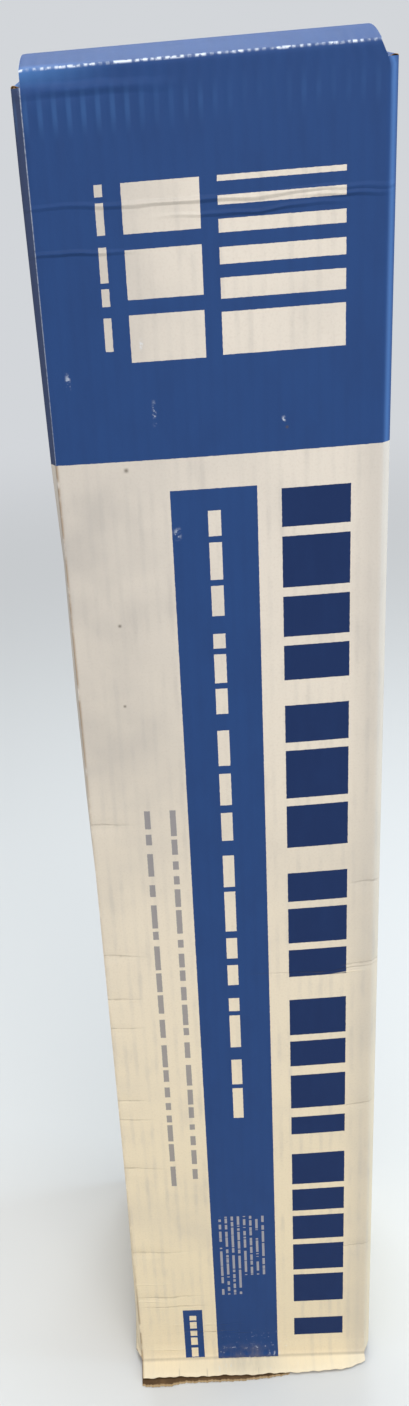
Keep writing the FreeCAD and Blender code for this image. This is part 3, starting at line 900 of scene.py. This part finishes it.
    def build(self):
        colours = self.colours
        blue, title, fine, notes = self.marks()
        waver = self.math("MULTIPLY_ADD", self.noise(self.place, 16.0, 2.0), 0.010, -0.005)
        wavy = self.math("ADD", self.along, waver)
        blue_creases, edge_creases, ridges = [
            self.creases(table, wavy) for table in (BLUE_CREASES, EDGE_CREASES, RIDGES)]

        dark = self.mix(self.ramp(self.long_cloud, 0.40, 0.80, 0.0, 0.18),
                        colours.navy, colours.blue_dull)
        colour = self.mix(blue, self.paper(), self.ink())
        colour = self.stain(colour, notes, 0.45, colours.white)
        colour = self.mix(title, colour, dark)
        colour = self.stain(colour, fine, 0.72, colours.grey)
        colour = self.mix(self.cracks(), colour, colours.cracked)
        colour = self.foot_soil_and_painted_light(colour)
        # painted highlight on the raised wrinkles of the bare paper
        bright = self.both(ridges, self.math("SUBTRACT", 1.0, blue))
        colour = self.stain(colour, bright, 0.55, colours.painted_highlight_paper)
        # painted shade in the creases at the panel's edges
        crease_shade = self.both(edge_creases, self.patches(90.0, 0.40, 0.65))
        colour = self.stain(colour, crease_shade, 0.26, colours.shade_and_dirt)
        specks = self.most(*[
            self.both(self.near(self.across, self.across_at(middle), size),
                      self.near(self.along, down(level), size))
            for middle, level, size in SPECKS])
        colour = self.stain(colour, specks, 0.75, colours.shade_and_dirt)
        self.feed(self.surface.inputs["Base Color"], self.torn_edges(colour))

        rough = self.math("MULTIPLY_ADD", blue, -0.10, 0.66)
        self.feed(self.surface.inputs["Roughness"], self.math("MULTIPLY_ADD", self.fibre, 0.10, rough))
        washboard = self.math("ADD", 0.25, self.near(self.along, LENGTH - 0.012, 0.045))
        skin = self.bump(self.math("MULTIPLY_ADD", self.flutes, washboard, self.fibre), 0.0002, 0.40)
        folds = self.math("ADD", blue_creases, self.math("MULTIPLY", edge_creases, -0.45))
        folds = self.math("MULTIPLY_ADD", ridges, 0.35, folds)
        self.feed(self.surface.inputs["Normal"], self.bump(folds, 0.0016, 0.8, skin))


def kraft_paper(colours):
    """Unbleached brown paper: the medium, the inner liner and every torn or cut edge."""
    shader = Shader("kraft_paper")
    place = shader.node("ShaderNodeTexCoord").outputs["Object"]
    fibre = shader.noise(place, 700.0, 4.0, 0.65)
    cloud = shader.noise(place, 30.0, 3.0)
    colour = shader.mix(shader.ramp(fibre, 0.3, 0.7), colours.kraft, srgb(178, 144, 102))
    colour = shader.mix(shader.ramp(cloud, 0.3, 0.8, 0.0, 0.4), colour, srgb(128, 98, 66))
    shader.feed(shader.surface.inputs["Base Color"], colour)
    shader.surface.inputs["Roughness"].default_value = 0.85
    shader.feed(shader.surface.inputs["Normal"], shader.bump(fibre, 0.0001, 0.5))
    return shader.material


def torn_kraft(colours):
    """Shaded kraft paper with a lighter torn edge. Its map's second coordinate is 0 at the edge."""
    shader = Shader("torn_kraft")
    place = shader.node("ShaderNodeUVMap", uv_map="blank").outputs[0]
    parts = shader.node("ShaderNodeSeparateXYZ")
    shader.feed(parts.inputs[0], place)
    fibre = shader.noise(place, 500.0, 4.0, 0.65)
    cloud = shader.noise(place, 60.0, 3.0)
    # the dark base is partly soil, partly painted shade under the foot
    colour = shader.mix(shader.ramp(fibre, 0.3, 0.7, 0.0, 0.5), colours.torn, srgb(66, 52, 40))
    colour = shader.mix(shader.ramp(cloud, 0.4, 0.8, 0.0, 0.5), colour, colours.kraft)
    rough_edge = shader.math("MULTIPLY_ADD", shader.noise(place, 150.0, 3.0), 0.0020, parts.outputs[1])
    rim = shader.ramp(rough_edge, 0.0020, 0.0036, 1.0, 0.0)
    colour = shader.stain(colour, rim, 0.9, srgb(186, 158, 118))
    shader.feed(shader.surface.inputs["Base Color"], colour)
    shader.surface.inputs["Roughness"].default_value = 0.9
    shader.feed(shader.surface.inputs["Normal"], shader.bump(fibre, 0.0002, 0.6))
    return shader.material


def materials():
    """The carton's materials, made once: printed liner, kraft paper and torn kraft paper."""
    scene = bpy.context.scene
    if "printed_liner" not in bpy.data.materials:
        PrintedLiner(scene.carton_colours, Blank(scene.carton_sizes)).build()
        kraft_paper(scene.carton_colours)
        torn_kraft(scene.carton_colours)
    return [bpy.data.materials[name] for name in ("printed_liner", "kraft_paper", "torn_kraft")]


def pale_floor():
    """A matt floor that fades into the backdrop far from the carton."""
    shader = Shader("pale_floor")
    shader.surface.inputs["Base Color"].default_value = as_colour(srgb(214, 212, 208))
    shader.surface.inputs["Roughness"].default_value = 0.8
    place = shader.node("ShaderNodeTexCoord").outputs["Object"]
    far = shader.node("ShaderNodeVectorMath", operation="LENGTH")
    shader.feed(far.inputs[0], place)
    glow = shader.node("ShaderNodeEmission")
    glow.inputs["Color"].default_value = BACKDROP
    glow.inputs["Strength"].default_value = WORLD_SEEN
    seen = shader.node("ShaderNodeLightPath").outputs["Is Camera Ray"]
    blend = shader.node("ShaderNodeMixShader")
    fading = shader.ramp(far.outputs["Value"], 0.9, 3.2)
    shader.feed(blend.inputs[0], shader.math("MULTIPLY", fading, seen))
    shader.feed(blend.inputs[1], shader.surface.outputs[0])
    shader.feed(blend.inputs[2], glow.outputs[0])
    shader.feed(shader.output.inputs[0], blend.outputs[0])
    return shader.material


# ---------------------------------------------------------------- operators

class CARTON_OT_outer_liner(bpy.types.Operator):
    """Folds up the printed outer layer of the board"""
    bl_idname = "carton.outer_liner"
    bl_label = "Outer Liner"

    def execute(self, context):
        sizes = context.scene.carton_sizes
        blank = Blank(sizes)
        liner = flat_sheet("outer_liner", blank_cells(
            blank, fine_columns=80, coarse_columns=14, fold_columns=5, rows=256, foot_rows=16))
        keep_blank_map(liner)
        for material in materials()[:2]:
            liner.data.materials.append(material)
        points = read_points(liner)
        write_points(liner, blank.fold_up(points[:, 0], points[:, 1], 0.0))
        thicken(liner, sizes.liner, 1)
        finish_piece(liner, "carton")
        return {"FINISHED"}


class CARTON_OT_inner_liner(bpy.types.Operator):
    """Folds up the brown inner layer of the board"""
    bl_idname = "carton.inner_liner"
    bl_label = "Inner Liner"

    def execute(self, context):
        sizes = context.scene.carton_sizes
        blank = Blank(sizes)
        liner = flat_sheet("inner_liner", blank_cells(
            blank, fine_columns=40, coarse_columns=12, fold_columns=3, rows=100, foot_rows=10))
        keep_blank_map(liner)
        liner.data.materials.append(materials()[1])
        points = read_points(liner)
        depth = sizes.board - sizes.liner
        write_points(liner, blank.fold_up(points[:, 0], points[:, 1], depth))
        thicken(liner, sizes.liner, 0)
        finish_piece(liner, "carton")
        return {"FINISHED"}


class CARTON_OT_fluted_medium(bpy.types.Operator):
    """Waves the middle layer of the board between the two liners of the end flaps"""
    bl_idname = "carton.fluted_medium"
    bl_label = "Fluted Medium"

    def execute(self, context):
        sizes = context.scene.carton_sizes
        blank = Blank(sizes)
        columns = round(blank.flat / sizes.flute) * 10
        cells = []
        for panel in range(4):
            left = blank.panel_start(panel)
            right = left + blank.flat
            bottom, top = blank.scores(panel)
            run = blank.flap_length(panel)
            for face, score in ((1, top), (-1, bottom)):
                folded = score + face * blank.arc
                tip = folded + face * (run - 0.0004)
                cells.append((left, right, min(score, folded), max(score, folded), columns, 4))
                cells.append((left, right, min(folded, tip), max(folded, tip), columns, 3))
        medium = flat_sheet("fluted_medium", cells)
        keep_blank_map(medium)
        medium.data.materials.append(materials()[1])
        points = read_points(medium)
        middle = sizes.board / 2
        swing = middle - sizes.liner * 1.05
        phase = 2 * math.pi * points[:, 0] / sizes.flute
        depth = middle - sizes.liner / 2 + swing * np.sin(phase)
        write_points(medium, blank.fold_up(points[:, 0], points[:, 1], depth))
        thicken(medium, sizes.liner * 0.7, 0)
        finish_piece(medium, "carton")
        return {"FINISHED"}


class CARTON_OT_torn_paper(bpy.types.Operator):
    """Lays the torn paper of the bottom flap on the floor in front of the foot"""
    bl_idname = "carton.torn_paper"
    bl_label = "Torn Paper"

    def execute(self, context):
        sizes = context.scene.carton_sizes
        edge_x, shortfall = zip(*TEAR_EDGE)
        paper = flat_sheet("torn_paper", [(edge_x[0], edge_x[-1], 0.0, TEAR_DEPTH, 150, 14)])
        keep_blank_map(paper)
        paper.data.materials.append(materials()[2])
        points = read_points(paper)
        x, share = points[:, 0], points[:, 1] / TEAR_DEPTH
        reach = TEAR_REACH - np.interp(x, edge_x, shortfall)
        ragged = 0.0005 * (np.sin(x * 900.0) * np.sin(x * 310.0 + 1.0) + np.sin(x * 2300.0) * 0.5)
        back = WIDTH / 2 + TEAR_REACH - TEAR_DEPTH
        reach = WIDTH / 2 + np.minimum(reach + ragged, TEAR_REACH)
        y = -(back + (reach - back) * (1 - share))
        curl = 0.0003 + 0.0005 * smooth_step(1 - share * 4) * (0.6 + 0.4 * np.sin(x * 140.0))
        write_points(paper, np.stack([x, y, curl], axis=1))
        thicken(paper, -sizes.liner * 0.5, 0)
        finish_piece(paper, "carton")
        return {"FINISHED"}


class CARTON_OT_wound_roll(bpy.types.Operator):
    """Gives the hidden roll its finish, with its turns on its ends"""
    bl_idname = "carton.wound_roll"
    bl_label = "Wound Roll"

    def execute(self, context):
        colours = context.scene.carton_colours
        shader = Shader("wound_membrane")
        place = shader.node("ShaderNodeTexCoord").outputs["Object"]
        parts = shader.node("ShaderNodeSeparateXYZ")
        shader.feed(parts.inputs[0], place)
        x, y, z = parts.outputs
        radius = shader.math("SQRT", shader.math("ADD", shader.math("MULTIPLY", x, x),
                                                 shader.math("MULTIPLY", y, y)))
        angle = shader.math("ARCTAN2", y, x)
        turn = shader.math("MULTIPLY_ADD", angle, MEMBRANE_SHEET / (2 * math.pi), radius)
        layer = shader.math("FRACT", shader.math("DIVIDE", turn, MEMBRANE_SHEET))
        edge = shader.ramp(shader.math("PINGPONG", layer, 0.5), 0.1, 0.3)
        fibre = shader.noise(place, 600.0, 4.0)
        face = shader.mix(shader.ramp(fibre, 0.3, 0.7), colours.membrane, srgb(78, 112, 160))
        ends = shader.mix(edge, srgb(30, 34, 40), face)
        on_end = shader.math("MAXIMUM", shader.math("LESS_THAN", z, ROLL_LOW.z + 0.0005),
                             shader.math("GREATER_THAN", z, ROLL_HIGH.z - 0.0005))
        shader.feed(shader.surface.inputs["Base Color"], shader.mix(on_end, face, ends))
        shader.surface.inputs["Roughness"].default_value = 0.7
        shader.feed(shader.surface.inputs["Normal"], shader.bump(fibre, 0.0002, 0.4))
        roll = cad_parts["membrane_roll"]
        roll.data.materials.clear()
        roll.data.materials.append(shader.material)
        return {"FINISHED"}


class CARTON_OT_stage(bpy.types.Operator):
    """Lays the floor, hangs the lights and sets up the camera"""
    bl_idname = "carton.stage"
    bl_label = "Stage"

    def execute(self, context):
        scene = context.scene
        object_mode()
        bpy.ops.object.select_all(action="DESELECT")
        bpy.ops.mesh.primitive_plane_add(size=12, location=(0, 0, 0))
        floor = bpy.context.object
        floor.name = "floor"
        floor.data.materials.append(pale_floor())

        world = bpy.data.worlds.new("studio")
        scene.world = world
        world.use_nodes = True
        tree = world.node_tree
        backdrop = tree.nodes["Background"]
        backdrop.inputs["Color"].default_value = BACKDROP
        seen = tree.nodes.new("ShaderNodeLightPath")
        strength = tree.nodes.new("ShaderNodeMapRange")
        strength.inputs["To Min"].default_value = WORLD_LIGHT
        strength.inputs["To Max"].default_value = WORLD_SEEN
        tree.links.new(seen.outputs["Is Camera Ray"], strength.inputs["Value"])
        tree.links.new(strength.outputs[0], backdrop.inputs["Strength"])

        for name, location, target, size, power, tint in LAMPS:
            bpy.ops.object.light_add(type="AREA", location=location)
            lamp = bpy.context.object
            lamp.name = name
            lamp.data.shape = "SQUARE"
            lamp.data.size = size
            lamp.data.energy = power
            lamp.data.color = tint
            aim = Vector(target) - Vector(location)
            lamp.rotation_euler = aim.to_track_quat("-Z", "Y").to_euler()

        bpy.ops.object.camera_add(location=CAMERA_PLACE)
        camera = bpy.context.object
        camera.name = "camera"
        turned = Matrix.Rotation(math.radians(CAMERA_YAW), 4, "Z")
        pitched = Matrix.Rotation(math.radians(90 + CAMERA_PITCH), 4, "X")
        rolled = Matrix.Rotation(math.radians(CAMERA_ROLL), 4, "Z")
        camera.matrix_world = Matrix.Translation(camera.location) @ turned @ pitched @ rolled
        camera.data.sensor_width = 36.0
        camera.data.lens = CAMERA_LENS
        camera.data.shift_x = CAMERA_SHIFT
        camera.data.clip_start = 0.01
        scene.camera = camera
        scene.view_settings.view_transform = "Standard"
        return {"FINISHED"}


class CARTON_PT_panel(bpy.types.Panel):
    """Lists the carton's steps, sizes and colours"""
    bl_idname = "CARTON_PT_panel"
    bl_label = "Boxed Membrane Roll"
    bl_space_type = "VIEW_3D"
    bl_region_type = "UI"
    bl_category = "Carton"

    def draw(self, context):
        column = self.layout.column(align=True)
        for step in STEPS:
            column.operator(step.bl_idname)
        for settings in (context.scene.carton_sizes, context.scene.carton_colours):
            box = self.layout.box()
            for name in settings.__annotations__:
                box.prop(settings, name)


STEPS = (
    CARTON_OT_outer_liner,
    CARTON_OT_inner_liner,
    CARTON_OT_fluted_medium,
    CARTON_OT_torn_paper,
    CARTON_OT_wound_roll,
    CARTON_OT_stage,
)
CLASSES = (CartonSizes, CartonColours) + STEPS + (CARTON_PT_panel,)


def register():
    for cls in CLASSES:
        bpy.utils.register_class(cls)
    bpy.types.Scene.carton_sizes = PointerProperty(type=CartonSizes)
    bpy.types.Scene.carton_colours = PointerProperty(type=CartonColours)


def unregister():
    del bpy.types.Scene.carton_colours
    del bpy.types.Scene.carton_sizes
    for cls in reversed(CLASSES):
        bpy.utils.unregister_class(cls)


def main():
    register()
    bpy.ops.carton.outer_liner()
    bpy.ops.carton.inner_liner()
    bpy.ops.carton.fluted_medium()
    bpy.ops.carton.torn_paper()
    bpy.ops.carton.wound_roll()
    bpy.ops.carton.stage()
    bpy.context.view_layer.update()


if __name__ == "__main__":
    main()
